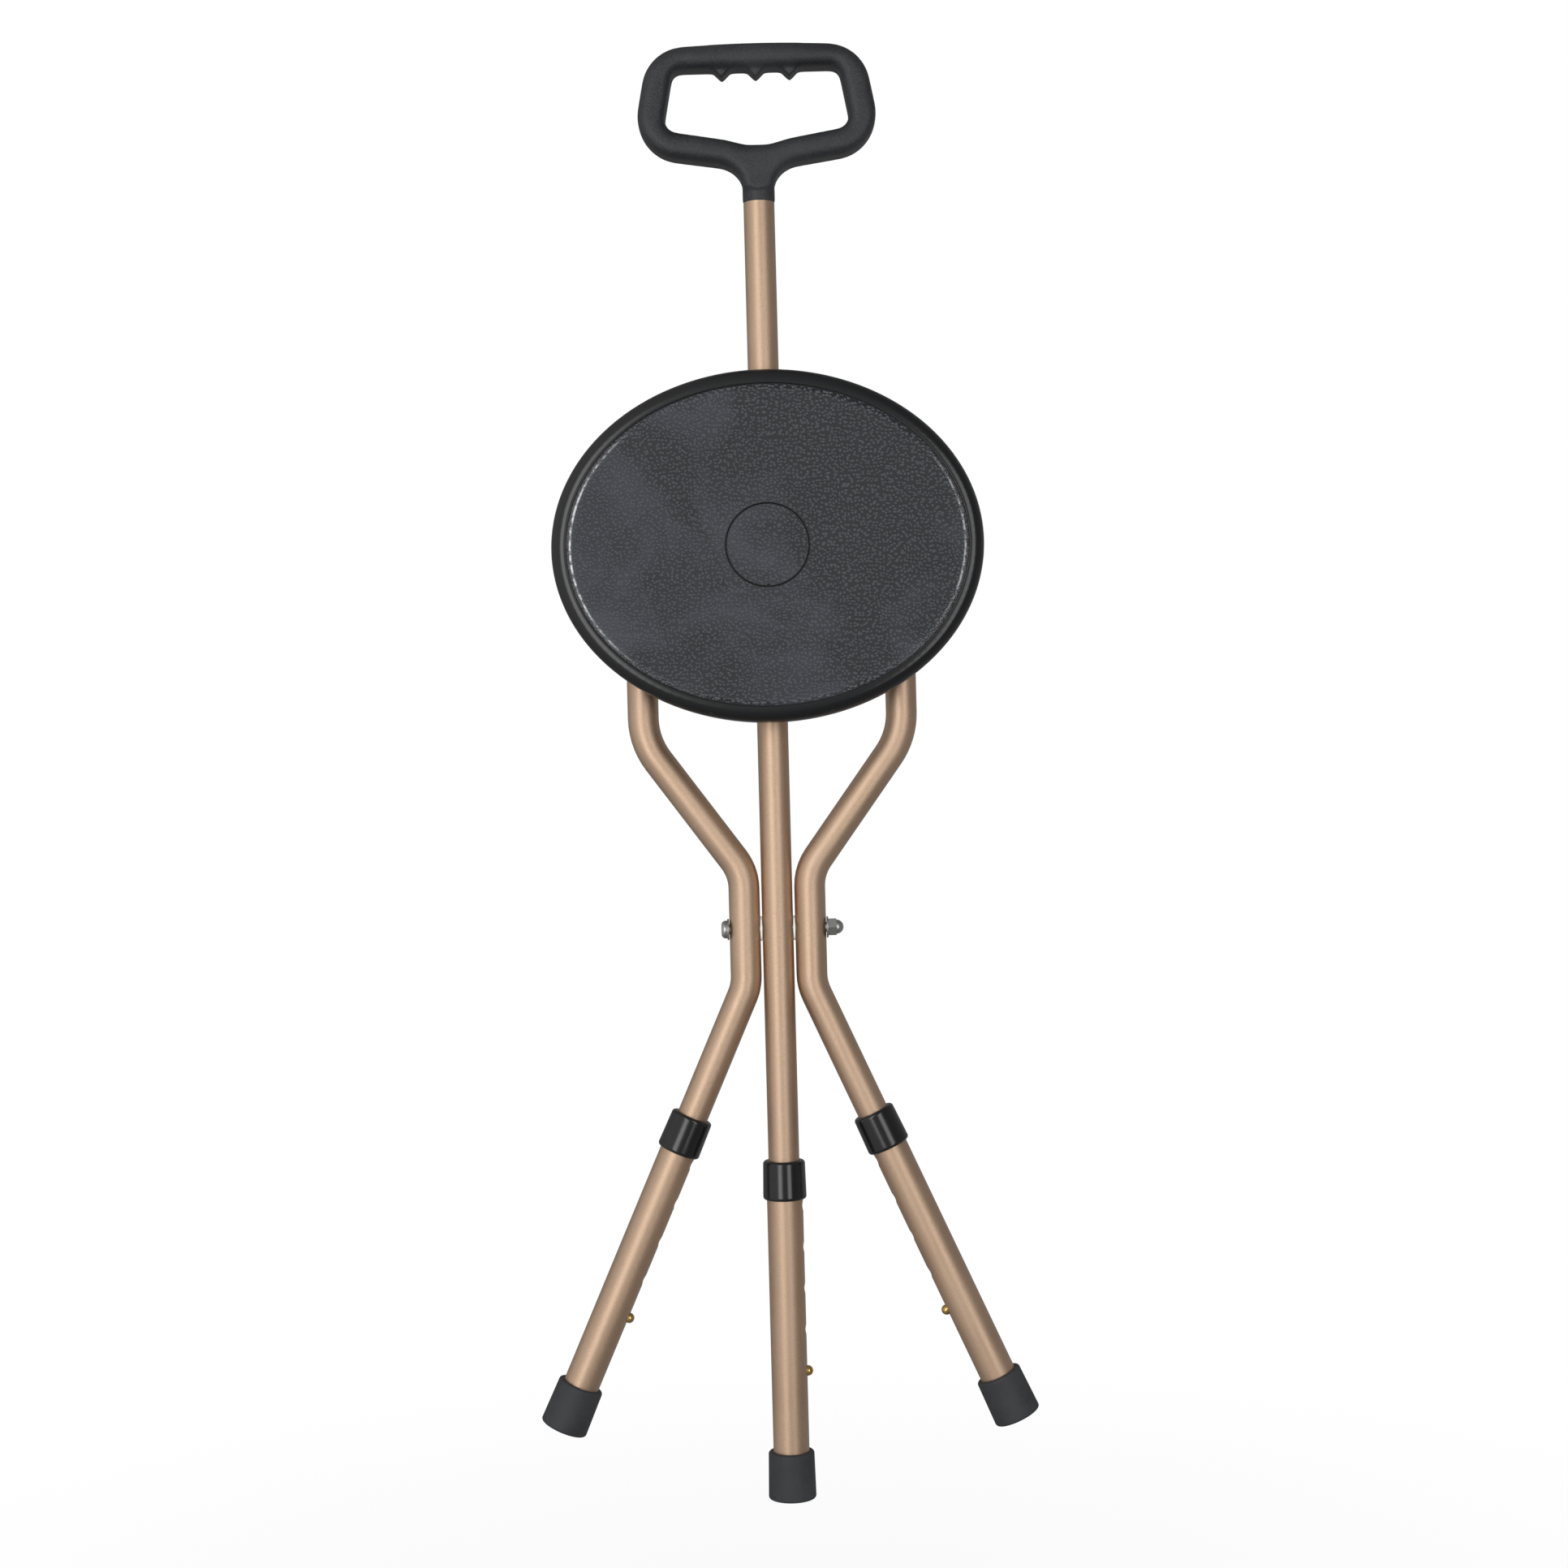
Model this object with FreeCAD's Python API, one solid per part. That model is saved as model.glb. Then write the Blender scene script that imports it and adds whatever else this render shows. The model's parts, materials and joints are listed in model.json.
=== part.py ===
"""Folding tripod cane seat: a walking stick with a loop handle, an oval seat and three adjustable feet.

Millimetres, +Z up along the shaft, origin on the floor under the shaft's rubber tip.
The seat is folded flat in front of the shaft (towards -Y), as when the stick is carried.
"""
import FreeCAD, Part
import math
import os

from FreeCAD import Base

Vec = Base.Vector
X_AXIS, Y_AXIS, Z_AXIS = Vec(1, 0, 0), Vec(0, 1, 0), Vec(0, 0, 1)

# Tubes
tube_od = 19.05                # shaft and upper leg tubes, 3/4 inch
tube_wall = 1.25
sleeve_wall = 1.275            # lower leg tube, 7/8 inch over the wall and the gap
slide_gap = 0.3                # radial room between tubes that slide
pin_gap = 0.05                 # radial room of a pin in its turning hole

# Foot assembly, measured along the leg from the sole of the rubber tip
tip_height = 29.0
tip_sole_od = 29.4
tip_rim_od = 28.2
tip_sole = 6.5                 # rubber under the steel disc
tip_disc = 1.5
tip_lip_radius = 1.6
sole_groove_depth = 1.2
sole_groove_width = 1.6
sole_groove_radii = (5.5, 10.0)
collar_top = 208.0
collar_height = 24.0
collar_top_od = 25.8
collar_low_od = 26.8
collar_lip = 3.0
collar_edge_radius = 2.0
button_height = 78.0
hole_pitch = 25.4
hole_count = 5
inner_tube_end = 60.0

# Snap button and its leaf spring
button_radius = 3.175
button_hole_gap = 0.3
button_crown = 0.4             # straight part that stands out of the sleeve, below the dome
button_foot_radius = 4.3
button_foot = 1.0
leaf_thickness = 0.8
leaf_width = 9.0
leaf_below_button = 8.0
leaf_flat_above = 8.0
leaf_bend_above = 34.0
leaf_bend_radius = 1.9

# Hub, where the two legs turn beside the shaft on one bolt
hub_height = 350.8
hub_half_straight = 35.1       # from the bolt to the corner of each bend
hub_bend_radius = 30.0
spacer_thickness = 1.2
spacer_radius = 7.5
bolt_radius = 3.0
washer_radius = 6.5
washer_thickness = 1.0
washer_gap = 0.3
bolt_head_radius = 5.5
bolt_head_height = 3.6
nut_flats = 10.0
nut_height = 5.0
nut_dome_radius = 4.4
bolt_end_in_nut = 4.0

# Legs
upper_splay = 36.0             # degrees off the shaft above the hub
lower_splay = 24.0             # degrees off the shaft below the hub
leg_top_offset = 79.5          # sideways distance of the straight leg tops
leg_bend_radius = 45.0
leg_reach = 294.5              # from the lower bend's corner to the sole
leg_end_above_pivot = 10.0
plug_depth = 14.0
plug_head = 2.0
plug_fit = 0.05

# Shaft and handle
shaft_top = 797.5
handle_top = 895.6             # corner of the shallow arch over the grip
handle_arch_radius = 700.0
handle_depth = 22.0
handle_edge_radius = 5.0
neck_radius = 9.9
neck_height = 6.0
neck_flare_height = 14.0         # where the neck has spread into the loop
neck_flare = 7.0
handle_plug_depth = 38.0
handle_plug_fit = 0.05
bump_pitch = 20.8
bump_drop = 5.4
bump_half_width = 6.0
bump_depth = 14.0
bump_tip_radius = 1.6
bump_root_radius = 1.0
bump_root = 1.0                # how deep a bump starts inside the grip, and its corner's reach past the tip
handle_outer = ((65.3, 892.2, 26.0), (77.2, 829.6, 26.0), (neck_radius - 0.4, 819.3, 17.0))
handle_inner = ((51.6, 880.6, 7.0), (58.7, 841.9, 9.0), (20.0, 835.3, 25.0), (7.0, 831.7, 20.0))

# Seat
seat_width = 262.0
seat_length = 213.6
seat_below_hinge = 88.1        # from the seat's middle up to its hinge at the back
seat_depth = 24.0
seat_wall = 3.0
seat_edge_radius = 8.0
seat_behind_gap = 2.0          # between the skirt's rim and the tubes
panel_inset = 9.5              # smooth border round the grained panel
panel_recess = 0.8
panel_edge_radius = 0.6
cap_radius = 25.0
cap_gap = 0.45
cap_thickness = 2.0
cap_notch_radius = 1.4
spigot_radius = 20.0
spigot_wall = 2.0
cap_edge_radius = 0.4
hub_boss_radius = 30.0
hub_boss_height = 9.0
moulding_overlap = 0.5         # how deep ribs, boss and pads start inside the seat's plate
rib_thickness = 2.4
rib_height = 8.0
rib_angles = (0, 35, 70, 110, 145, 180, 250, 290)
ring_rib_share = 0.55          # place of the oval rib between middle and border
notch_half_width = 16.0

# Seat brackets and pivots
bracket_sheet = 2.0
bracket_gap = 0.5              # each side of the leg tube
bracket_half_height = 7.5
bracket_wing = 12.0
skirt_clearance = 0.1          # least room between a bracket and the seat's skirt
pad_height = 6.0
pad_margin = 1.0
pivot_radius = 3.0
pivot_head_radius = 4.8
pivot_head = 1.6
screw_radius = 1.8
screw_head_radius = 3.6
screw_head_height = 1.8
screw_length = 6.5
screw_spacing = 8.0
head_round_share = 0.6         # rounding of pin, plug and screw heads, as a share of their height

# Slide collar on the shaft
slide_height = 672.0           # height of its hinge when folded
slide_reach = 26.0             # hinge in front of the shaft's axis
slide_half_height = 8.0
slide_wall = 4.2
lug_half_width = 6.0
lug_radius = 5.0
hinge_radius = 2.5
ear_gap = 0.5
ear_thickness = 4.5
stop_radius = 2.5
stop_head_radius = 3.6
stop_head = 2.6
stop_gap = 0.3

# Opening of the stool
shaft_lean = 35.0              # degrees off upright with the seat level


# Sizes that follow from the ones above
tube_r = tube_od / 2
tube_bore_r = tube_r - tube_wall
sleeve_bore_r = tube_r + slide_gap
sleeve_r = sleeve_bore_r + sleeve_wall
sleeve_start = tip_sole + tip_disc
sleeve_end = collar_top - collar_lip
leg_hub_offset = tube_od + spacer_thickness
leaf_offset = math.sqrt(tube_bore_r ** 2 - (leaf_width / 2) ** 2) - leaf_thickness
seat_middle = slide_height - seat_below_hinge
seat_back = -(tube_r + seat_behind_gap)
seat_front = seat_back - seat_depth
seat_inside = seat_front + seat_wall
lower_bend = Vec(leg_hub_offset, 0, hub_height - hub_half_straight)
upper_bend = Vec(leg_hub_offset, 0, hub_height + hub_half_straight)
rise_to_top_bend = (leg_top_offset - leg_hub_offset) / math.tan(math.radians(upper_splay))
top_bend = Vec(leg_top_offset, 0, upper_bend.z + rise_to_top_bend)


def fold_geometry():
    """Angles of the opened stool and the height of the seat's pivots on the legs."""
    lean = math.radians(shaft_lean)
    legs_drop = hub_half_straight + leg_reach * math.cos(math.radians(lower_splay))
    leg_lean = math.acos(min(1.0, hub_height * math.cos(lean) / legs_drop))
    fold = lean + leg_lean
    seat_turn = math.pi / 2 - lean
    rise = slide_height - hub_height
    pivot_reach = (rise * math.sin(seat_turn) + slide_reach * (1 - math.cos(seat_turn))) / (
        math.sin(fold) + math.sin(seat_turn))
    link = math.hypot(rise - pivot_reach, slide_reach)
    tilt = math.atan2(slide_reach, rise - pivot_reach)
    opened = pivot_reach * math.cos(fold) + link * math.cos(seat_turn - tilt)
    return fold, seat_turn, pivot_reach, opened


def slide_wander(fold, seat_turn, pivot_reach):
    """How far the slide collar drifts forwards off the shaft in mid swing, as seat and legs turn evenly."""
    rise = slide_height - hub_height - pivot_reach
    drifts = []
    for i in range(101):
        leg, seat = fold * i / 100, seat_turn * i / 100
        drifts.append(pivot_reach * math.sin(leg) - rise * math.sin(seat) - slide_reach * (1 - math.cos(seat)))
    return max(drifts)


fold_angle, seat_angle, pivot_reach, slide_open = fold_geometry()
slide_play = slide_wander(fold_angle, seat_angle, pivot_reach)
pivot_height = hub_height + pivot_reach
stop_height = hub_height + slide_open - slide_half_height - stop_gap - stop_head_radius


def cylinder(radius, base, direction, length):
    return Part.makeCylinder(radius, length, base, direction)


def box(low, high):
    size = high - low
    return Part.makeBox(size.x, size.y, size.z, low)


def rounded_wire(corners):
    """Closed wire in the XZ plane through corners (x, z, radius), each rounded by a tangent arc."""
    count = len(corners)
    points = [Vec(x, 0, z) for x, z, _ in corners]
    starts, ends, middles = [], [], []
    for i, (_, _, radius) in enumerate(corners):
        here = points[i]
        back = (points[i - 1] - here).normalize()
        ahead = (points[(i + 1) % count] - here).normalize()
        half = math.acos(max(-1.0, min(1.0, back.dot(ahead)))) / 2
        reach = radius / math.tan(half)
        bisector = (back + ahead).normalize()
        starts.append(here + back * reach)
        ends.append(here + ahead * reach)
        middles.append(here + bisector * (radius / math.sin(half) - radius))
    edges = []
    for i in range(count):
        if corners[i][2] > 0:
            edges.append(Part.Arc(starts[i], middles[i], ends[i]).toShape())
        following = starts[(i + 1) % count]
        if (following - ends[i]).Length > 1e-6:
            edges.append(Part.LineSegment(ends[i], following).toShape())
    return Part.Wire(edges)


def mirrored_corners(half):
    """Corners on both sides of the middle plane from those on its right, listed downwards."""
    left = [(-x, z, radius) for x, z, radius in reversed(half)]
    return list(half) + left


def extrude_y(wire, depth):
    face = Part.Face(wire)
    face.translate(Vec(0, -depth / 2, 0))
    return face.extrude(Vec(0, depth, 0))


def round_edges(solid, radius, chosen):
    edges = [edge for edge in solid.Edges if chosen(edge)]
    return solid.makeFillet(radius, edges) if edges else solid


def handle():
    """Loop handle with finger bumps and a plug that goes down into the shaft."""
    outline = mirrored_corners([
        (x, z, radius) for x, z, radius in handle_outer] + [(handle_outer[-1][0], shaft_top + neck_height, 0)])
    arch = [(0, handle_top, handle_arch_radius)]
    ring = extrude_y(rounded_wire(arch + outline), handle_depth)
    hole = extrude_y(rounded_wire(mirrored_corners(handle_inner)), handle_depth * 2)
    ring = ring.cut(hole)
    front, back = -handle_depth / 2, handle_depth / 2

    def on_a_face(edge):
        ys = [vertex.Point.y for vertex in edge.Vertexes]
        on_front = all(abs(y - front) < 1e-6 for y in ys)
        on_back = all(abs(y - back) < 1e-6 for y in ys)
        low = all(vertex.Point.z < shaft_top + neck_height + 0.01 for vertex in edge.Vertexes)
        return (on_front or on_back) and not low

    ring = round_edges(ring, handle_edge_radius, on_a_face)
    waist = cylinder(neck_radius, Vec(0, 0, shaft_top), Z_AXIS, handle_inner[-1][1] - shaft_top - neck_height)
    below_loop = box(Vec(-neck_radius * 3, -handle_depth, shaft_top),
                     Vec(neck_radius * 3, handle_depth, shaft_top + neck_flare_height))
    cheek = Part.makeCone(neck_radius, neck_radius + neck_flare, neck_flare_height - neck_height,
                          Vec(0, 0, shaft_top + neck_height), Z_AXIS)
    waisted = ring.common(below_loop).common(cheek)
    body = ring.cut(below_loop).fuse([waisted, waist])
    for i in (-1, 0, 1):
        body = body.fuse(finger_bump(i * bump_pitch))
    plug = cylinder(tube_bore_r - handle_plug_fit, Vec(0, 0, shaft_top - handle_plug_depth), Z_AXIS,
                    handle_plug_depth + neck_height)
    return body.fuse(plug).removeSplitter()


def finger_bump(x):
    """Pointed bump under the grip, between two fingers."""
    grip_under = handle_inner[0][1]
    root = grip_under + bump_root
    wire = rounded_wire([
        (x - bump_half_width, root, 0), (x + bump_half_width, root, 0),
        (x + bump_half_width, grip_under, bump_root_radius),
        (x, grip_under - bump_drop - bump_root, bump_tip_radius),
        (x - bump_half_width, grip_under, bump_root_radius)])
    return extrude_y(wire, bump_depth)


def rubber_tip():
    """Cup of rubber with a grooved sole, along +Z from its sole."""
    outer = Part.makeCone(tip_sole_od / 2, tip_rim_od / 2, tip_height)
    outer = round_edges(outer, tip_lip_radius, lambda edge: len(edge.Vertexes) == 1)
    cup = outer.cut(cylinder(sleeve_r, Vec(0, 0, tip_sole), Z_AXIS, tip_height))
    for radius in sole_groove_radii:
        ring = cylinder(radius + sole_groove_width / 2, Vec(0, 0, 0), Z_AXIS, sole_groove_depth)
        cup = cup.cut(ring.cut(cylinder(radius - sole_groove_width / 2, Vec(0, 0, 0), Z_AXIS, sole_groove_depth)))
    return cup


def tip_steel_disc():
    return cylinder(sleeve_r, Vec(0, 0, tip_sole), Z_AXIS, tip_disc)


def sleeve_tube():
    """Lower leg tube with its row of height holes on the +X side."""
    tube = cylinder(sleeve_r, Vec(0, 0, sleeve_start), Z_AXIS, sleeve_end - sleeve_start)
    tube = tube.cut(cylinder(sleeve_bore_r, Vec(0, 0, sleeve_start), Z_AXIS, sleeve_end - sleeve_start))
    for i in range(hole_count):
        centre = Vec(0, 0, button_height + i * hole_pitch)
        tube = tube.cut(cylinder(button_radius + button_hole_gap, centre, X_AXIS, sleeve_r * 2))
    return tube


def leg_collar():
    """Moulded bush that caps the lower tube and guides the upper one."""
    start = collar_top - collar_height
    outer = Part.makeCone(collar_low_od / 2, collar_top_od / 2, collar_height, Vec(0, 0, start), Z_AXIS)
    outer = round_edges(outer, collar_edge_radius, lambda edge: len(edge.Vertexes) == 1)
    outer = outer.cut(cylinder(sleeve_r, Vec(0, 0, start), Z_AXIS, sleeve_end - start))
    return outer.cut(cylinder(sleeve_bore_r, Vec(0, 0, start), Z_AXIS, collar_height))


def snap_button():
    """Domed brass button on its foot, pointing along +X."""
    dome_centre = sleeve_r + button_crown
    foot_start = leaf_offset - button_foot
    foot = cylinder(button_foot_radius, Vec(foot_start, 0, button_height), X_AXIS, button_foot)
    stem = cylinder(button_radius, Vec(foot_start, 0, button_height), X_AXIS, dome_centre - foot_start)
    dome = Part.makeSphere(button_radius, Vec(dome_centre, 0, button_height))
    return foot.fuse([stem, dome]).removeSplitter()


def button_spring():
    """Bent leaf spring inside the tube, its front leaf holed for the button's stem."""
    low = button_height - leaf_below_button
    knee = button_height + leaf_flat_above
    bend = button_height + leaf_bend_above
    outer_x, outer_bend = leaf_offset + leaf_thickness, leaf_bend_radius + leaf_thickness

    def half(x_flat, x_bend):
        return [Vec(x_flat, 0, low), Vec(x_flat, 0, knee), Vec(x_bend, 0, bend)]

    outside = half(outer_x, outer_bend)
    inside = half(leaf_offset, leaf_bend_radius)

    def flip(point):
        return Vec(-point.x, 0, point.z)

    edges = [Part.LineSegment(outside[0], outside[1]), Part.LineSegment(outside[1], outside[2]),
             Part.Arc(outside[2], Vec(0, 0, bend + outer_bend), flip(outside[2])),
             Part.LineSegment(flip(outside[2]), flip(outside[1])),
             Part.LineSegment(flip(outside[1]), flip(outside[0])),
             Part.LineSegment(flip(outside[0]), flip(inside[0])),
             Part.LineSegment(flip(inside[0]), flip(inside[1])),
             Part.LineSegment(flip(inside[1]), flip(inside[2])),
             Part.Arc(flip(inside[2]), Vec(0, 0, bend + leaf_bend_radius), inside[2]),
             Part.LineSegment(inside[2], inside[1]), Part.LineSegment(inside[1], inside[0]),
             Part.LineSegment(inside[0], outside[0])]
    strip = extrude_y(Part.Wire([edge.toShape() for edge in edges]), leaf_width)
    hole = cylinder(button_radius + button_hole_gap, Vec(0, 0, button_height), X_AXIS, tube_r)
    return strip.cut(hole)


def on_left_leg(shape):
    return place_on_leg(shape, -1)


def on_right_leg(shape):
    return place_on_leg(shape, 1)


def on_shaft(shape):
    return shape.copy()


def place_on_leg(shape, side):
    """Foot piece moved from the shaft onto a leg, its button side turned inwards."""
    splay = math.radians(lower_splay)
    sole = Vec(side * (lower_bend.x + leg_reach * math.sin(splay)), 0,
               lower_bend.z - leg_reach * math.cos(splay))
    turned = shape.copy()
    if side > 0:
        turned.rotate(Vec(0, 0, 0), Z_AXIS, 180)
    turned.rotate(Vec(0, 0, 0), Y_AXIS, -side * lower_splay)
    turned.translate(sole)
    return turned


def bent_tube(points, radii, outer_r, inner_r):
    """Tube along straight runs joined by tangent arcs at the inner points."""
    edges = []
    start = points[0]
    for i in range(1, len(points) - 1):
        here = points[i]
        back = (points[i - 1] - here).normalize()
        ahead = (points[i + 1] - here).normalize()
        half = math.acos(back.dot(ahead)) / 2
        reach = radii[i - 1] / math.tan(half)
        middle = here + (back + ahead).normalize() * (radii[i - 1] / math.sin(half) - radii[i - 1])
        edges.append(Part.LineSegment(start, here + back * reach).toShape())
        edges.append(Part.Arc(here + back * reach, middle, here + ahead * reach).toShape())
        start = here + ahead * reach
    edges.append(Part.LineSegment(start, points[-1]).toShape())
    path = Part.Wire(edges)
    direction = (points[1] - points[0]).normalize()

    def swept(radius):
        ring = Part.Wire([Part.makeCircle(radius, points[0], direction)])
        return path.makePipeShell([ring], True, False)

    return swept(outer_r).cut(swept(inner_r))


def leg_tube(side):
    """One folding leg: straight at the seat, bent in to the hub, then splayed out to its foot."""
    splay = math.radians(lower_splay)
    reach = leg_reach - inner_tube_end
    points = [Vec(leg_top_offset, 0, pivot_height + leg_end_above_pivot), top_bend, upper_bend, lower_bend,
              lower_bend + Vec(math.sin(splay), 0, -math.cos(splay)) * reach]
    points = [Vec(side * point.x, 0, point.z) for point in points]
    tube = bent_tube(points, (leg_bend_radius, hub_bend_radius, hub_bend_radius), tube_r, tube_bore_r)
    bolt_hole = cylinder(bolt_radius + pin_gap, Vec(side * leg_hub_offset - tube_od, 0, hub_height), X_AXIS,
                         tube_od * 2)
    pivot_hole = cylinder(pivot_radius + pin_gap, Vec(side * leg_top_offset - tube_od, 0, pivot_height),
                          X_AXIS, tube_od * 2)
    button_hole = cylinder(button_radius + button_hole_gap, Vec(0, 0, button_height), X_AXIS, tube_od)
    return tube.cut(bolt_hole).cut(pivot_hole).cut(place_on_leg(button_hole, side))


def leg_plug(side):
    """Plastic plug in the top end of a leg, bored for the pivot pin."""
    top = pivot_height + leg_end_above_pivot
    x = side * leg_top_offset
    stem = cylinder(tube_bore_r - plug_fit, Vec(x, 0, top - plug_depth), Z_AXIS, plug_depth)
    head = cylinder(tube_r, Vec(x, 0, top), Z_AXIS, plug_head)
    head = round_edges(head, plug_head * head_round_share, lambda edge: len(edge.Vertexes) == 1
                       and edge.Vertexes[0].Point.z > top + plug_head / 2)
    hole = cylinder(pivot_radius + pin_gap, Vec(x - tube_od, 0, pivot_height), X_AXIS, tube_od * 2)
    return stem.fuse(head).cut(hole).removeSplitter()


def shaft_tube():
    """Straight main tube with its bolt, stop and button holes."""
    length = shaft_top - inner_tube_end
    tube = cylinder(tube_r, Vec(0, 0, inner_tube_end), Z_AXIS, length)
    tube = tube.cut(cylinder(tube_bore_r, Vec(0, 0, inner_tube_end), Z_AXIS, length))
    across = Vec(-tube_od, 0, 0)
    tube = tube.cut(cylinder(bolt_radius, across + Vec(0, 0, hub_height), X_AXIS, tube_od * 2))
    tube = tube.cut(cylinder(stop_radius, across + Vec(0, 0, stop_height), X_AXIS, tube_od * 2))
    return tube.cut(cylinder(button_radius + button_hole_gap, Vec(0, 0, button_height), X_AXIS, tube_od))


def hub_stack():
    """Bolt, nut and washers that join the legs to the shaft."""
    outside = leg_hub_offset + tube_r + washer_gap
    seat_x = outside + washer_thickness
    centre = Vec(0, 0, hub_height)
    bolt = cylinder(bolt_radius, centre - X_AXIS * seat_x, X_AXIS, seat_x * 2 + bolt_end_in_nut)
    head = cylinder(bolt_head_radius, centre - X_AXIS * seat_x, X_AXIS * -1, bolt_head_height)
    head = round_edges(head, bolt_head_height * 0.7, lambda edge: len(edge.Vertexes) == 1
                       and edge.Vertexes[0].Point.x < -seat_x - bolt_head_height / 2)
    corners = []
    for i in range(7):
        angle = math.radians(60 * i)
        corner = nut_flats / 2 / math.cos(math.radians(30))
        corners.append(centre + Vec(seat_x, corner * math.cos(angle), corner * math.sin(angle)))
    nut = Part.Face(Part.makePolygon(corners)).extrude(X_AXIS * nut_height)
    nut = nut.fuse(Part.makeSphere(nut_dome_radius, centre + X_AXIS * (seat_x + nut_height)))
    nut = nut.cut(cylinder(bolt_radius, centre + X_AXIS * seat_x, X_AXIS, bolt_end_in_nut))
    spacers, washers = [], []
    for side in (-1, 1):
        spacer_x = side * (tube_r + spacer_thickness / 2) - spacer_thickness / 2
        spacers.append(ring_x(spacer_radius, spacer_x, spacer_thickness))
        washer_x = side * (outside + washer_thickness / 2) - washer_thickness / 2
        washers.append(ring_x(washer_radius, washer_x, washer_thickness))
    return bolt.fuse(head), nut.removeSplitter(), Part.Compound(spacers), Part.Compound(washers)


def ring_x(radius, x, thickness):
    """Washer on the hub bolt, its face square to X."""
    disc = cylinder(radius, Vec(x, 0, hub_height), X_AXIS, thickness)
    return disc.cut(cylinder(bolt_radius, Vec(x, 0, hub_height), X_AXIS, thickness))


def riveted_pin(radius, head_radius, head, centre, half_length):
    """Pin along X with a low domed head at each end."""
    pin = cylinder(radius, centre - X_AXIS * half_length, X_AXIS, half_length * 2)
    for side in (-1, 1):
        seat = centre + X_AXIS * (side * half_length)
        cap = cylinder(head_radius, seat, X_AXIS * side, head)
        cap = round_edges(cap, head * head_round_share, lambda edge: len(edge.Vertexes) == 1
                          and abs(edge.Vertexes[0].Point.x - seat.x) > head / 2)
        pin = pin.fuse(cap)
    return pin.removeSplitter()


def oval(half_width, half_length, y):
    """Face in the plane of the seat, with its middle on the seat's middle."""
    centre = Vec(0, y, seat_middle)
    ellipse = Part.Ellipse(centre + X_AXIS * half_width, centre + Z_AXIS * half_length, centre)
    return Part.Face(Part.Wire([ellipse.toShape()]))


def oval_block(inset, front, back):
    face = oval(seat_width / 2 - inset, seat_length / 2 - inset, front)
    return face.extrude(Y_AXIS * (back - front))


def oval_band(inset, width, front, back):
    return oval_block(inset, front, back).cut(oval_block(inset + width, front, back))


def under_bracket(side, margin, near, far):
    """Block under or round one leg bracket, between two depths behind the seat's face."""
    outer = leg_top_offset + tube_r + bracket_gap + bracket_sheet + margin
    inner = leg_top_offset - tube_r - bracket_gap - bracket_sheet - bracket_wing - margin
    xs = sorted((side * inner, side * outer))
    reach = bracket_half_height + margin
    return box(Vec(xs[0], near, pivot_height - reach), Vec(xs[1], far, pivot_height + reach))


def leg_pad(side):
    """Raised pad under the seat that carries a leg bracket."""
    return under_bracket(side, pad_margin, seat_inside - moulding_overlap, seat_inside + pad_height)


def bracket_room(side):
    """Space for a bracket and its pin heads, kept clear of ribs."""
    return under_bracket(side, pad_margin + pivot_head, seat_inside, seat_back)


def seat_pan():
    """Moulded seat: rounded edge, skirt, ribs, bracket pads, hinge ears and a notch for the shaft."""
    outer = oval_block(0, seat_front, seat_back)
    outer = round_edges(outer, seat_edge_radius, lambda edge: edge.Vertexes[0].Point.y < seat_front + 0.01
                        and all(abs(vertex.Point.y - seat_front) < 1e-6 for vertex in edge.Vertexes))
    hollow = oval_block(seat_wall, seat_inside, seat_back)
    hollow = round_edges(hollow, seat_edge_radius - seat_wall,
                         lambda edge: all(abs(vertex.Point.y - seat_inside) < 1e-6 for vertex in edge.Vertexes))
    outer = outer.cut(oval_block(panel_inset, seat_front, seat_front + panel_recess))
    outer = round_edges(outer, panel_edge_radius, lambda edge: all(
        abs(vertex.Point.y - seat_front) < 1e-6 and abs(vertex.Point.x) < seat_width / 2 - panel_inset + 0.01
        and abs(vertex.Point.z - seat_middle) < seat_length / 2 - panel_inset + 0.01 for vertex in edge.Vertexes))
    rib_root = seat_inside - moulding_overlap
    boss = cylinder(hub_boss_radius, Vec(0, rib_root, seat_middle), Y_AXIS, hub_boss_height)
    ribs = []
    for angle in rib_angles:
        rib = box(Vec(0, rib_root, -rib_thickness / 2),
                  Vec(seat_width / 2, seat_inside + rib_height, rib_thickness / 2))
        rib.rotate(Vec(0, 0, 0), Y_AXIS, -angle)
        rib.translate(Vec(0, 0, seat_middle))
        ribs.append(rib)
    share = 1 - ring_rib_share
    ring_inset = share * seat_length / 2
    ribs.append(oval_band(ring_inset, rib_thickness, rib_root, seat_inside + rib_height))
    inside = oval_block(seat_wall / 2, rib_root, seat_back)
    ribbing = boss.fuse(ribs).cut(Part.Compound([bracket_room(-1), bracket_room(1)]))
    added = ribbing.fuse([leg_pad(-1), leg_pad(1), hinge_ears()]).common(inside)
    pan = outer.cut(hollow).fuse(added)
    for side in (-1, 1):
        pan = pan.cut(under_bracket(side, skirt_clearance, seat_inside + pad_height, seat_back))
    cap_room = cylinder(cap_radius + cap_gap, Vec(0, seat_front, seat_middle), Y_AXIS,
                        panel_recess + cap_thickness)
    core = cylinder(spigot_radius, Vec(0, seat_front, seat_middle), Y_AXIS, seat_wall + hub_boss_height)
    notch = box(Vec(-notch_half_width, seat_front + seat_edge_radius - moulding_overlap,
                    slide_height + slide_half_height),
                Vec(notch_half_width, seat_back, seat_middle + seat_length))
    pan = pan.cut(cap_room).cut(core).cut(notch)
    for side in (-1, 1):
        for centre in bracket_screw_centres(side):
            depth = screw_length - bracket_sheet
            pan = pan.cut(cylinder(screw_radius, centre - Y_AXIS * depth, Y_AXIS, depth))
    return pan.removeSplitter()


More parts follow.
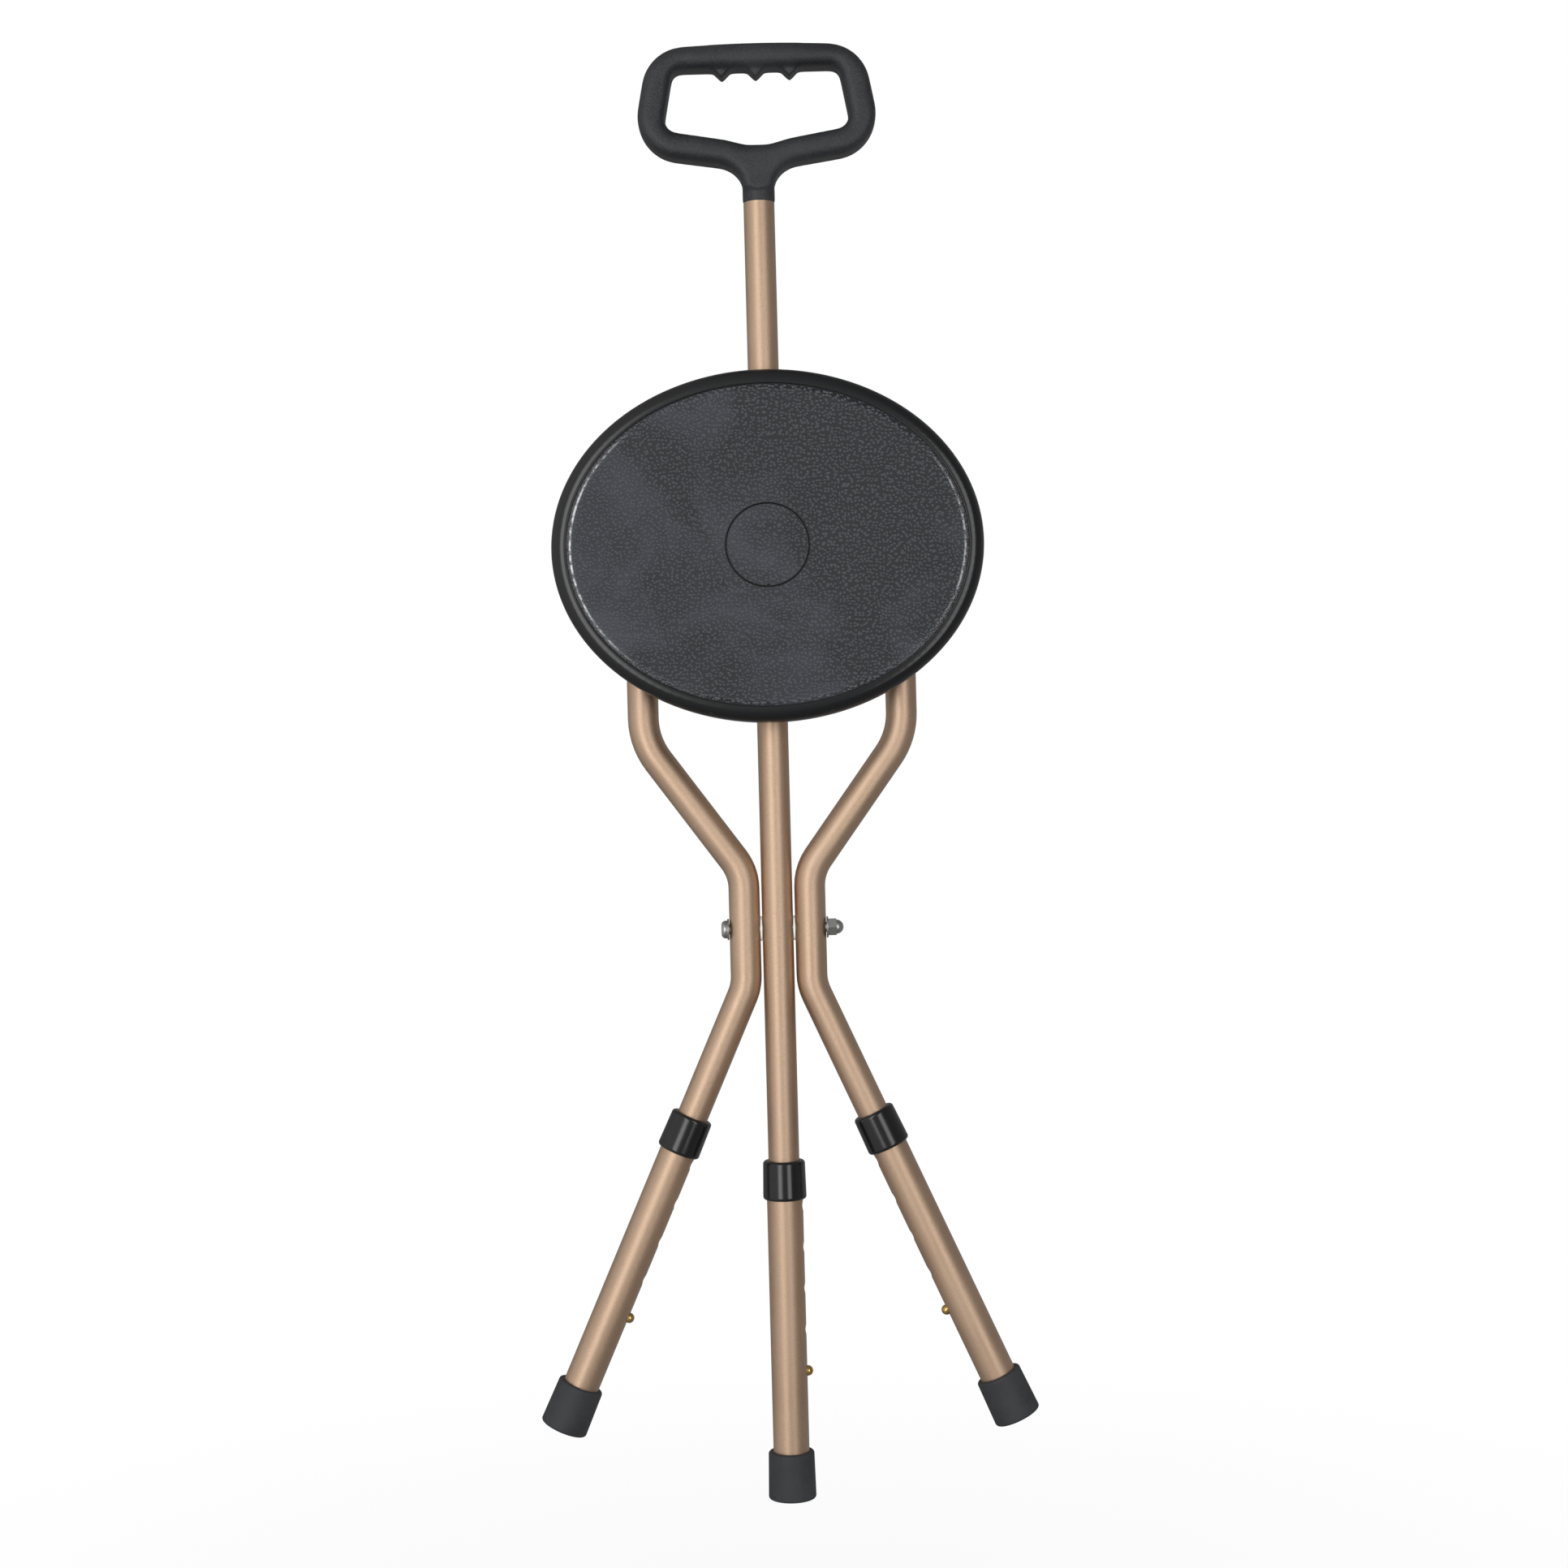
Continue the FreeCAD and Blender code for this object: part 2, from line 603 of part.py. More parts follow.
def hinge_ears():
    """Pair of moulded ears near the back of the seat that hold the slide collar's hinge pin."""
    ears = []
    for side in (-1, 1):
        near = side * (lug_half_width + ear_gap)
        far = side * (lug_half_width + ear_gap + ear_thickness)
        xs = sorted((near, far))
        round_end = cylinder(lug_radius, Vec(xs[0], -slide_reach, slide_height), X_AXIS, ear_thickness)
        web = box(Vec(xs[0], seat_inside - moulding_overlap, slide_height - lug_radius * 2),
                  Vec(xs[1], -slide_reach, slide_height + lug_radius))
        ear = round_end.fuse(web)
        ears.append(ear.cut(cylinder(hinge_radius, Vec(xs[0], -slide_reach, slide_height), X_AXIS,
                                     ear_thickness)))
    return Part.Compound(ears)


def seat_cap():
    """Round cap in the middle of the seat, with a notch to lift it out."""
    face = seat_front + panel_recess
    disc = cylinder(cap_radius, Vec(0, face, seat_middle), Y_AXIS, cap_thickness)
    disc = round_edges(disc, cap_edge_radius, lambda edge: len(edge.Vertexes) == 1
                       and edge.Vertexes[0].Point.y < face + cap_thickness / 2)
    notch = cylinder(cap_notch_radius, Vec(0, face, seat_middle - cap_radius), Y_AXIS, cap_thickness)
    start = Vec(0, face + cap_thickness, seat_middle)
    spigot = cylinder(spigot_radius, start, Y_AXIS, hub_boss_height / 2)
    spigot = spigot.cut(cylinder(spigot_radius - spigot_wall, start, Y_AXIS, hub_boss_height))
    return disc.cut(notch).fuse(spigot).removeSplitter()


def bracket_screw_centres(side):
    """Where the screws of one leg bracket enter its pad."""
    x = side * (leg_top_offset - tube_r - bracket_gap - bracket_sheet - bracket_wing / 2)
    y = seat_inside + pad_height
    return [Vec(x, y, pivot_height - screw_spacing / 2), Vec(x, y, pivot_height + screw_spacing / 2)]


def leg_bracket(side):
    """Pressed steel bracket: a base on the pad and two ears that hold a leg's pivot pin."""
    half = tube_r + bracket_gap
    x = side * leg_top_offset
    base_y = seat_inside + pad_height
    low, high = pivot_height - bracket_half_height, pivot_height + bracket_half_height
    inner = side * (leg_top_offset - half - bracket_sheet - bracket_wing)
    outer = side * (leg_top_offset + half + bracket_sheet)
    xs = sorted((inner, outer))
    base = box(Vec(xs[0], base_y, low), Vec(xs[1], base_y + bracket_sheet, high))
    solids = []
    for ear_side in (-1, 1):
        edge_a = x + ear_side * half
        edge_b = x + ear_side * (half + bracket_sheet)
        xs = sorted((edge_a, edge_b))
        ear = box(Vec(xs[0], base_y, low), Vec(xs[1], 0, high))
        tip = cylinder(bracket_half_height, Vec(xs[0], 0, pivot_height), X_AXIS, bracket_sheet)
        solids.append(ear.fuse(tip))
    bracket = base.fuse(solids)
    bracket = bracket.cut(cylinder(pivot_radius, Vec(x - tube_od, 0, pivot_height), X_AXIS, tube_od * 2))
    for centre in bracket_screw_centres(side):
        bracket = bracket.cut(cylinder(screw_radius, centre, Y_AXIS, bracket_sheet))
    return bracket.removeSplitter()


def bracket_screws():
    """Pan-head screws of both leg brackets."""
    screws = []
    for side in (-1, 1):
        for centre in bracket_screw_centres(side):
            under_head = centre + Y_AXIS * bracket_sheet
            shank = cylinder(screw_radius, under_head, Y_AXIS * -1, screw_length)
            head = cylinder(screw_head_radius, under_head, Y_AXIS, screw_head_height)
            head = round_edges(head, screw_head_height * head_round_share, lambda edge: len(edge.Vertexes) == 1
                               and edge.Vertexes[0].Point.y > under_head.y + screw_head_height / 2)
            screws.append(shank.fuse(head).removeSplitter())
    return Part.Compound(screws)


def slide_collar():
    """Ring that runs on the shaft, with a lug for the hinge at the back of the seat."""
    low = slide_height - slide_half_height
    height = slide_half_height * 2
    bore = sleeve_bore_r

    def stadium(radius):
        front = cylinder(radius, Vec(0, 0, low), Z_AXIS, height)
        back = cylinder(radius, Vec(0, slide_play, low), Z_AXIS, height)
        return front.fuse([back, box(Vec(-radius, 0, low), Vec(radius, slide_play, low + height))]).removeSplitter()

    ring = stadium(bore + slide_wall)
    ring = round_edges(ring, slide_wall * 0.35,
                       lambda edge: all(abs(abs(vertex.Point.z - slide_height) - slide_half_height) < 1e-6
                                        for vertex in edge.Vertexes))
    lug = box(Vec(-lug_half_width, -slide_reach, slide_height - lug_radius),
              Vec(lug_half_width, 0, slide_height + lug_radius))
    eye = cylinder(lug_radius, Vec(-lug_half_width, -slide_reach, slide_height), X_AXIS, lug_half_width * 2)
    ring = ring.fuse([lug, eye]).cut(stadium(bore))
    pin_hole = cylinder(hinge_radius + pin_gap, Vec(-lug_half_width, -slide_reach, slide_height), X_AXIS,
                        lug_half_width * 2)
    return ring.cut(pin_hole).removeSplitter()


def build():
    bolt, nut, spacers, washers = hub_stack()
    bracket_half = tube_r + bracket_gap + bracket_sheet
    hinge_half = lug_half_width + ear_gap + ear_thickness
    nodes = {
        "handle": handle(),
        "shaft_tube": shaft_tube(),
        "hub_bolt": bolt,
        "hub_nut": nut,
        "hub_spacers": spacers,
        "hub_washers": washers,
        "slide_stop_pin": riveted_pin(stop_radius, stop_head_radius, stop_head, Vec(0, 0, stop_height), tube_r),
        "left_leg_tube": leg_tube(-1),
        "right_leg_tube": leg_tube(1),
        "left_leg_plug": leg_plug(-1),
        "right_leg_plug": leg_plug(1),
        "seat_pan": seat_pan(),
        "seat_cap": seat_cap(),
        "left_leg_bracket": leg_bracket(-1),
        "right_leg_bracket": leg_bracket(1),
        "bracket_screws": bracket_screws(),
        "left_pivot_pin": riveted_pin(pivot_radius, pivot_head_radius, pivot_head,
                                      Vec(-leg_top_offset, 0, pivot_height), bracket_half),
        "right_pivot_pin": riveted_pin(pivot_radius, pivot_head_radius, pivot_head,
                                       Vec(leg_top_offset, 0, pivot_height), bracket_half),
        "slide_hinge_pin": cylinder(hinge_radius, Vec(-hinge_half, -slide_reach, slide_height), X_AXIS,
                                    hinge_half * 2),
        "slide_collar": slide_collar(),
    }
    foot_pieces = {"lower_tube": sleeve_tube(), "collar": leg_collar(), "rubber_tip": rubber_tip(),
                   "tip_disc": tip_steel_disc(), "button": snap_button(), "button_spring": button_spring()}
    for leg, place in (("shaft", on_shaft), ("left", on_left_leg), ("right", on_right_leg)):
        for piece, shape in foot_pieces.items():
            nodes[leg + "_" + piece] = place(shape)
    return nodes


def main():
    os.makedirs("parts", exist_ok=True)
    for name, shape in build().items():
        shape.exportStep("parts/" + name + ".step")
        print(name, len(shape.Solids), shape.isValid(), round(shape.Volume, 1))
    print("fold", round(math.degrees(fold_angle), 3), "seat", round(math.degrees(seat_angle), 3),
          "pivot height", round(pivot_height, 3), "slide open", round(slide_open, 3),
          "stop", round(stop_height, 3))


main()
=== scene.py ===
"""Looks of the walking stick seat: bronze tubes, black moulded handle and grained seat, rubber feet."""

import json
import math

import bpy
from mathutils import Matrix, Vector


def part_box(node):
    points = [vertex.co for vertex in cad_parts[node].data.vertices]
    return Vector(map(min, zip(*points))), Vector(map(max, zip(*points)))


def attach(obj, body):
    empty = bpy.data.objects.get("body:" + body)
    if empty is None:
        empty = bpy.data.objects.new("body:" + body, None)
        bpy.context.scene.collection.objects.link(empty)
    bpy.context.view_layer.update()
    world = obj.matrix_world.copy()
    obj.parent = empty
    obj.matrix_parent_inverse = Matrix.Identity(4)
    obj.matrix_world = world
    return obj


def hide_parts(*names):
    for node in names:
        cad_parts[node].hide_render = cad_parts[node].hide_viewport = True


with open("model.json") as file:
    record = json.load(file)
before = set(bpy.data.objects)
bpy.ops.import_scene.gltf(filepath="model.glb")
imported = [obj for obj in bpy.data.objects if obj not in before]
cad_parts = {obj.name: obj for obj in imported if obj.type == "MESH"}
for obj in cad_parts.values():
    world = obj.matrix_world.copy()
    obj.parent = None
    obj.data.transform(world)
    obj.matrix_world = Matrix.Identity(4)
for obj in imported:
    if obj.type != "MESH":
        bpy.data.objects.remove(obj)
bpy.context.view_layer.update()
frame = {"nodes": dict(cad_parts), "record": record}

MM = 0.001

# Handle, heights from the middle foot's sole
HANDLE_VOXEL = 1.0 * MM
HANDLE_PADDING = 0.7 * MM                # pushed out by this first, so that softening doesn't thin it
SOFTENING_STEPS = 30
NECK_TOP = 812.0 * MM                    # below this the neck keeps its crisp shape
NECK_FADE = 8.0 * MM                     # above it, the height over which the softening comes in
NECK_SHARE = 0.08                        # of the softening, what the neck gets
GRIP_UNDER = 881.0 * MM                  # underside of the grip, where the finger bumps start
BUMP_DEPTH = 8.0 * MM
BUMP_ROOT = 1.0 * MM
BUMPS_HALF = 34.0 * MM                   # half of the width that the three bumps take
BUMP_SHARE = 0.4                         # of the softening, what the finger bumps get

# Seat
SEAT_MIDDLE = 583.9 * MM                 # height of the seat's middle
SEAT_HALF = (131.0 * MM, 106.8 * MM)     # half its width and half its height
SEAT_FRONT = (-34.0 * MM, -33.0 * MM)    # the grain is on the front face only, and ends between these
PANEL_INSET = 9.5 * MM                   # width of the smooth border round the grained panel
CAP_GROOVE = 25.2 * MM                   # radius of the groove round the seat's cap
GROOVE_SHADE = (0.35 * MM, 1.1 * MM)     # painted shade round the cap's groove is full out to the first of these, and gone at the second
GRAIN_PITCH = 2.3 * MM                   # one pebble of the seat's grain to the next
GRAIN_BENDS = (14.0 * MM, 4.0 * MM)      # how long the bends in the rows of pebbles are, and how deep
REFLECTION_PATCH = 75.0 * MM                 # painted reflection patches, a little paler
GLINT_SPECK_LENGTH = 3.0 * MM                  # specks of painted glint along the panel's raised edge
GLINT_EDGE = 0.981                     # where that edge is, as a share of the panel's reach

# Pattern sizes, where a Noise node takes them as so many to the metre
DYE_CLOUDS = 22.0                        # 45 mm across, in the tubes' bronze
HANDLE_WEAR = 30.0                       # 33 mm
SEAT_SMUDGES_AND_SHEEN = 11.0                      # 90 mm
BUSH_RIPPLE = 120.0                      # 8 mm, the sinking of a thick moulding
RUBBER_BLOOM = 60.0                      # 17 mm
WASHER_CLOUDS = 200.0                    # 5 mm
RUBBER_PORES = 1300.0                    # 0.8 mm, drawn coarser than they are
METAL_GRAIN = 1800.0                     # 0.6 mm, drawn coarser than it is
BLASTED_SPECKLE = 1.1 * MM               # drawn coarser than it is, as are the next two
SPARKED_TEXTURE = 1.2 * MM               # of the handle's mould
MOULD_TEXTURE = 1.25 * MM                # of the slide collar and the plugs

# Studio
FLOOR_DROP = 105.0 * MM                  # floor below the folded stick, so that a foot can slide down
FLOOR_SIZE = 12.0
WHITENING = (0.1, 0.8)                   # distances between which the floor turns to the white background
WHITE_SHARE = (0.75, 1.0)                # how far it has done so at the first, and at the second
FILL_LEVEL = 0.8                         # light on matt surfaces from all round
REFLECTED_FROM = (-0.8, -0.56, 0.2)      # brightest side of the studio, as polished surfaces mirror it
REFLECTED_LEVELS = ((0.0, 0.3), (0.35, 0.18), (0.55, 0.22), (0.77, 0.4), (0.95, 0.72), (1.0, 0.75))
LAMPS_AIM = (0.0, 0.0, 0.45)
CAMERA_PLACE = (6.1 * MM, -1545.0 * MM, 439.5 * MM)
CAMERA_ROLL = 1.5                        # degrees, as the photograph leans
PHOTO_WIDTH = 966.0 * MM                 # of the photograph at the stick: 1932 pixels of half a millimetre
FILM_WIDTH = 36.0                        # of the camera, in millimetres


# Colour and nodes

def hex_colour(code):
    """Linear colour of an sRGB hex code such as 8C6F57."""
    channels = [int(code[i:i + 2], 16) / 255 for i in (0, 2, 4)]
    linear = [c / 12.92 if c <= 0.04045 else ((c + 0.055) / 1.055) ** 2.4 for c in channels]
    return (*linear, 1.0)


def add_node(material, kind, inputs=None, **settings):
    """Add one node with its settings.

    An input takes a value, an output socket that feeds it, or a node, whose first live output does.
    """
    tree = material.node_tree
    node = tree.nodes.new(kind)
    for name, value in settings.items():
        setattr(node, name, value)
    for name, value in (inputs or {}).items():
        if isinstance(value, bpy.types.Node):
            value = next(output for output in value.outputs if output.enabled)
        if isinstance(value, bpy.types.NodeSocket):
            tree.links.new(value, node.inputs[name])
        else:
            node.inputs[name].default_value = value
    return node


def new_material(name):
    """Empty material, and the object's coordinates in metres."""
    material = bpy.data.materials.new(name)
    material.use_nodes = True
    material.node_tree.nodes.clear()
    place = add_node(material, "ShaderNodeTexCoord").outputs["Object"]
    return material, place


def finish_material(material, inputs):
    """Principled surface from its inputs, joined to the material's output."""
    surface = add_node(material, "ShaderNodeBsdfPrincipled", inputs)
    add_node(material, "ShaderNodeOutputMaterial", {"Surface": surface})
    return material


def mottled_colour(material, pattern, dark, light, low=0.0, high=1.0):
    """Colour that goes from one hex code to another, as a pattern goes from low to high."""
    lightness = add_node(material, "ShaderNodeMapRange", {
        "Value": pattern, "From Min": low, "From Max": high})
    return add_node(material, "ShaderNodeMix", {
        "Factor": lightness, "A": hex_colour(dark), "B": hex_colour(light)}, data_type="RGBA")


# Materials, each named for what the real one is

def anodised_bronze_aluminium():
    """Drawn aluminium tube, blasted, dyed bronze and sealed: satin metal under a clear oxide film."""
    material, place = new_material("anodised_bronze_aluminium")
    cloud = add_node(material, "ShaderNodeTexNoise", {
        "Vector": place, "Scale": DYE_CLOUDS, "Detail": 4.0, "Roughness": 0.5})
    blasted = add_node(material, "ShaderNodeTexNoise", {
        "Vector": place, "Scale": 1 / BLASTED_SPECKLE, "Detail": 2.0})
    speckle = add_node(material, "ShaderNodeMix", {"Factor": 0.5, "A": cloud, "B": blasted})
    satin = add_node(material, "ShaderNodeMapRange", {
        "Value": cloud, "From Min": 0.35, "From Max": 0.65, "To Min": 0.5, "To Max": 0.56})
    bump = add_node(material, "ShaderNodeBump", {
        "Height": blasted, "Strength": 0.3, "Distance": 0.05 * MM})
    return finish_material(material, {
        "Base Color": mottled_colour(material, speckle, "BF9E7F", "CBAB8D", 0.38, 0.62),
        "Metallic": 1.0, "Roughness": satin, "Normal": bump,
        "Coat Weight": 1.0, "Coat IOR": 1.77, "Coat Roughness": 0.45})


def moulded_handle_plastic():
    """Black polypropylene from a spark-eroded mould: a fine dull texture, worn smoother where it is held."""
    material, place = new_material("moulded_handle_plastic")
    texture = add_node(material, "ShaderNodeTexNoise", {
        "Vector": place, "Scale": 1 / SPARKED_TEXTURE, "Detail": 3.0, "Roughness": 0.6})
    wear = add_node(material, "ShaderNodeTexNoise", {
        "Vector": place, "Scale": HANDLE_WEAR, "Detail": 5.0})
    worn = add_node(material, "ShaderNodeMix", {"Factor": 0.5, "A": texture, "B": wear})
    sheen = add_node(material, "ShaderNodeMapRange", {
        "Value": wear, "From Min": 0.3, "From Max": 0.7, "To Min": 0.40, "To Max": 0.52})
    bump = add_node(material, "ShaderNodeBump", {
        "Height": texture, "Strength": 0.8, "Distance": 0.35 * MM})
    return finish_material(material, {
        "Base Color": mottled_colour(material, worn, "17181B", "292A2D", 0.38, 0.62),
        "Roughness": sheen, "IOR": 1.49, "Normal": bump})


def seat_panel_mask(material, place):
    """The grained front panel as 1, how far out from the middle a point is, and the painted shade round the
    cap's groove as 1.
    """
    parts = add_node(material, "ShaderNodeSeparateXYZ", {"Vector": place}).outputs
    up = add_node(material, "ShaderNodeMath", {0: parts["Z"], 1: SEAT_MIDDLE}, operation="SUBTRACT")
    across = add_node(material, "ShaderNodeMath", {
        0: parts["X"], 1: SEAT_HALF[0] - PANEL_INSET}, operation="DIVIDE")
    along = add_node(material, "ShaderNodeMath", {
        0: up, 1: SEAT_HALF[1] - PANEL_INSET}, operation="DIVIDE")
    oval = add_node(material, "ShaderNodeCombineXYZ", {"X": across, "Y": along})
    reach = add_node(material, "ShaderNodeVectorMath", {0: oval}, operation="LENGTH")
    inside = add_node(material, "ShaderNodeMapRange", {
        "Value": reach, "From Min": 0.99, "From Max": 0.998, "To Min": 1.0, "To Max": 0.0})
    front = add_node(material, "ShaderNodeMapRange", {
        "Value": parts["Y"], "From Min": SEAT_FRONT[0], "From Max": SEAT_FRONT[1],
        "To Min": 1.0, "To Max": 0.0})
    panel = add_node(material, "ShaderNodeMath", {0: inside, 1: front}, operation="MULTIPLY")
    from_middle = add_node(material, "ShaderNodeCombineXYZ", {"X": parts["X"], "Y": up})
    radius = add_node(material, "ShaderNodeVectorMath", {0: from_middle}, operation="LENGTH")
    # Painted shade: a dark ring on either side of the cap's groove
    past_groove = add_node(material, "ShaderNodeMath", {0: radius, 1: CAP_GROOVE}, operation="SUBTRACT")
    off_groove = add_node(material, "ShaderNodeMath", {0: past_groove}, operation="ABSOLUTE")
    groove_shade = add_node(material, "ShaderNodeMapRange", {
        "Value": off_groove, "From Min": GROOVE_SHADE[0], "From Max": GROOVE_SHADE[1],
        "To Min": 1.0, "To Max": 0.0})
    return panel, reach, groove_shade


def painted_edge_glint(material, place, reach):
    """Raised edge of the panel as 1 where a painted glint lies on it, in specks towards the seat's two ends,
    stronger on the left.
    """
    past_edge = add_node(material, "ShaderNodeMath", {0: reach, 1: GLINT_EDGE}, operation="SUBTRACT")
    off_edge = add_node(material, "ShaderNodeMath", {0: past_edge}, operation="ABSOLUTE")
    line = add_node(material, "ShaderNodeMapRange", {
        "Value": off_edge, "From Min": 0.002, "From Max": 0.007, "To Min": 1.0, "To Max": 0.0})
    specks = add_node(material, "ShaderNodeTexNoise", {
        "Vector": place, "Scale": 1 / GLINT_SPECK_LENGTH, "Detail": 2.0})
    broken = add_node(material, "ShaderNodeMapRange", {
        "Value": specks, "From Min": 0.42, "From Max": 0.6, "To Min": 0.15, "To Max": 1.0})
    across = add_node(material, "ShaderNodeSeparateXYZ", {"Vector": place}).outputs["X"]
    left = add_node(material, "ShaderNodeMapRange", {
        "Value": across, "From Min": -SEAT_HALF[0] * 0.9, "From Max": -SEAT_HALF[0] * 0.62,
        "To Min": 1.0, "To Max": 0.0})
    right = add_node(material, "ShaderNodeMapRange", {
        "Value": across, "From Min": SEAT_HALF[0] * 0.74, "From Max": SEAT_HALF[0] * 0.9,
        "To Min": 0.0, "To Max": 0.45})
    ends = add_node(material, "ShaderNodeMath", {0: left, 1: right}, operation="MAXIMUM")
    # painted glint: pale specks along the raised edge, full on the left and under half as strong on the
    # right
    scuffs = add_node(material, "ShaderNodeMath", {0: line, 1: broken}, operation="MULTIPLY")
    return add_node(material, "ShaderNodeMath", {0: scuffs, 1: ends}, operation="MULTIPLY")


def pebble_grain(material, place):
    """Rows of moulded pebbles, 1 on their tops and 0 between, and the face's own two coordinates."""
    bends = add_node(material, "ShaderNodeTexNoise", {
        "Vector": place, "Scale": 1 / GRAIN_BENDS[0], "Detail": 1.0}).outputs["Color"]
    bent = add_node(material, "ShaderNodeVectorMath", {
        0: bends, 1: (GRAIN_BENDS[1],) * 3, 2: place}, operation="MULTIPLY_ADD")
    parts = add_node(material, "ShaderNodeSeparateXYZ", {"Vector": bent}).outputs
    face = add_node(material, "ShaderNodeCombineXYZ", {"X": parts["X"], "Y": parts["Z"]})
    off_top = add_node(material, "ShaderNodeTexVoronoi", {
        "Vector": face, "Scale": 1 / GRAIN_PITCH, "Randomness": 0.8}, voronoi_dimensions="2D")
    pebble = add_node(material, "ShaderNodeMapRange", {
        "Value": off_top, "From Min": 0.15, "From Max": 0.5, "To Min": 1.0, "To Max": 0.0})
    return pebble, face


def grained_seat_plastic():
    """Charcoal polypropylene: a moulded pebble grain with a painted highlight on the pebble tops, a paler
    painted sheen with painted reflection patches, a painted glint along the panel's raised edge and painted
    shade round the cap's groove, inside a smooth glossy border.
    """
    material, place = new_material("grained_seat_plastic")
    panel, reach, groove_shade = seat_panel_mask(material, place)
    pebble, face = pebble_grain(material, place)
    relief = add_node(material, "ShaderNodeMath", {0: pebble, 1: panel}, operation="MULTIPLY")
    step_down = add_node(material, "ShaderNodeMapRange", {
        "Value": reach, "From Min": 0.972, "From Max": 0.994, "To Min": 0.0, "To Max": -1.6})
    height = add_node(material, "ShaderNodeMath", {0: relief, 1: step_down}, operation="ADD")
    bump = add_node(material, "ShaderNodeBump", {
        "Height": height, "Strength": 0.6, "Distance": 0.5 * MM})

    # these clouds set real smudges in the roughness, and a painted sheen in the colour
    smudges_and_sheen = add_node(material, "ShaderNodeTexNoise", {
        "Vector": place, "Scale": SEAT_SMUDGES_AND_SHEEN, "Detail": 6.0, "Roughness": 0.6, "Distortion": 0.8})
    reflection_cells = add_node(material, "ShaderNodeTexVoronoi", {
        "Vector": face, "Scale": 1 / REFLECTION_PATCH}, voronoi_dimensions="2D").outputs["Color"]
    reflection_patch = add_node(material, "ShaderNodeSeparateXYZ", {"Vector": reflection_cells})
    sheen_haze = add_node(material, "ShaderNodeMix", {"Factor": 0.05, "A": smudges_and_sheen, "B": reflection_patch})
    # painted sheen: the grain paled in soft clouds and in painted reflection patches
    painted_sheen = add_node(material, "ShaderNodeMapRange", {
        "Value": sheen_haze, "From Min": 0.48, "From Max": 0.66, "To Min": 0.0, "To Max": 0.5})
    # the pebble tops painted lighter than the gaps between them, a painted highlight on the grain, and over
    # that the painted sheen
    dusty = add_node(material, "ShaderNodeMix", {
        "Factor": painted_sheen, "A": mottled_colour(material, pebble, "14161A", "3B3F46", 0.2, 1.0),
        "B": hex_colour("454951")}, data_type="RGBA")
    # pale painted glint along the panel's raised edge, stronger on the left
    glinted = add_node(material, "ShaderNodeMix", {
        "Factor": painted_edge_glint(material, place, reach), "A": dusty, "B": hex_colour("D0D2D4")},
        data_type="RGBA")
    # painted shade darkens the seat round the cap's groove
    groove_shaded = add_node(material, "ShaderNodeMix", {
        "Factor": groove_shade, "A": glinted, "B": hex_colour("050506")}, data_type="RGBA")
    colour = add_node(material, "ShaderNodeMix", {
        "Factor": panel, "A": hex_colour("0E0F11"), "B": groove_shaded}, data_type="RGBA")

    matt = add_node(material, "ShaderNodeMapRange", {
        "Value": smudges_and_sheen, "From Min": 0.3, "From Max": 0.7, "To Min": 0.46, "To Max": 0.6})
    polish = add_node(material, "ShaderNodeMapRange", {
        "Value": reach, "From Min": 0.955, "From Max": 0.975, "To Min": 0.0, "To Max": 0.28})
    polished = add_node(material, "ShaderNodeMath", {0: matt, 1: polish}, operation="SUBTRACT")
    rough = add_node(material, "ShaderNodeMix", {"Factor": panel, "A": 0.24, "B": polished})
    return finish_material(material, {
        "Base Color": colour, "Roughness": rough, "IOR": 1.49, "Normal": bump})


def gloss_black_nylon():
    """Injection-moulded nylon bush, polished in its mould: near-black with sharp reflections."""
    material, place = new_material("gloss_black_nylon")
    ripple = add_node(material, "ShaderNodeTexNoise", {
        "Vector": place, "Scale": BUSH_RIPPLE, "Detail": 2.0})
    gloss = add_node(material, "ShaderNodeMapRange", {"Value": ripple, "To Min": 0.17, "To Max": 0.23})
    bump = add_node(material, "ShaderNodeBump", {
        "Height": ripple, "Strength": 0.2, "Distance": 0.2 * MM})
    return finish_material(material, {
        "Base Color": mottled_colour(material, ripple, "0A0A0C", "111113"),
        "Roughness": gloss, "IOR": 1.53, "Normal": bump})


def satin_black_nylon():
    """Plain moulded nylon of the slide collar and the plugs: black with a low sheen."""
    material, place = new_material("satin_black_nylon")
    texture = add_node(material, "ShaderNodeTexNoise", {
        "Vector": place, "Scale": 1 / MOULD_TEXTURE, "Detail": 3.0})
    bump = add_node(material, "ShaderNodeBump", {
        "Height": texture, "Strength": 0.25, "Distance": 0.1 * MM})
    return finish_material(material, {
        "Base Color": mottled_colour(material, texture, "0E0E10", "18181A"),
        "Roughness": 0.38, "IOR": 1.53, "Normal": bump})


def black_foot_rubber():
    """Moulded natural rubber: dull charcoal with a dusty bloom and faint scuffs."""
    material, place = new_material("black_foot_rubber")
    bloom = add_node(material, "ShaderNodeTexNoise", {
        "Vector": place, "Scale": RUBBER_BLOOM, "Detail": 6.0, "Roughness": 0.7})
    pores = add_node(material, "ShaderNodeTexNoise", {
        "Vector": place, "Scale": RUBBER_PORES, "Detail": 3.0})
    dull = add_node(material, "ShaderNodeMapRange", {
        "Value": bloom, "From Min": 0.3, "From Max": 0.7, "To Min": 0.55, "To Max": 0.7})
    bump = add_node(material, "ShaderNodeBump", {
        "Height": pores, "Strength": 0.45, "Distance": 0.15 * MM})
    return finish_material(material, {
        "Base Color": mottled_colour(material, bloom, "202124", "303134", 0.3, 0.75),
        "Roughness": dull, "IOR": 1.52, "Normal": bump})


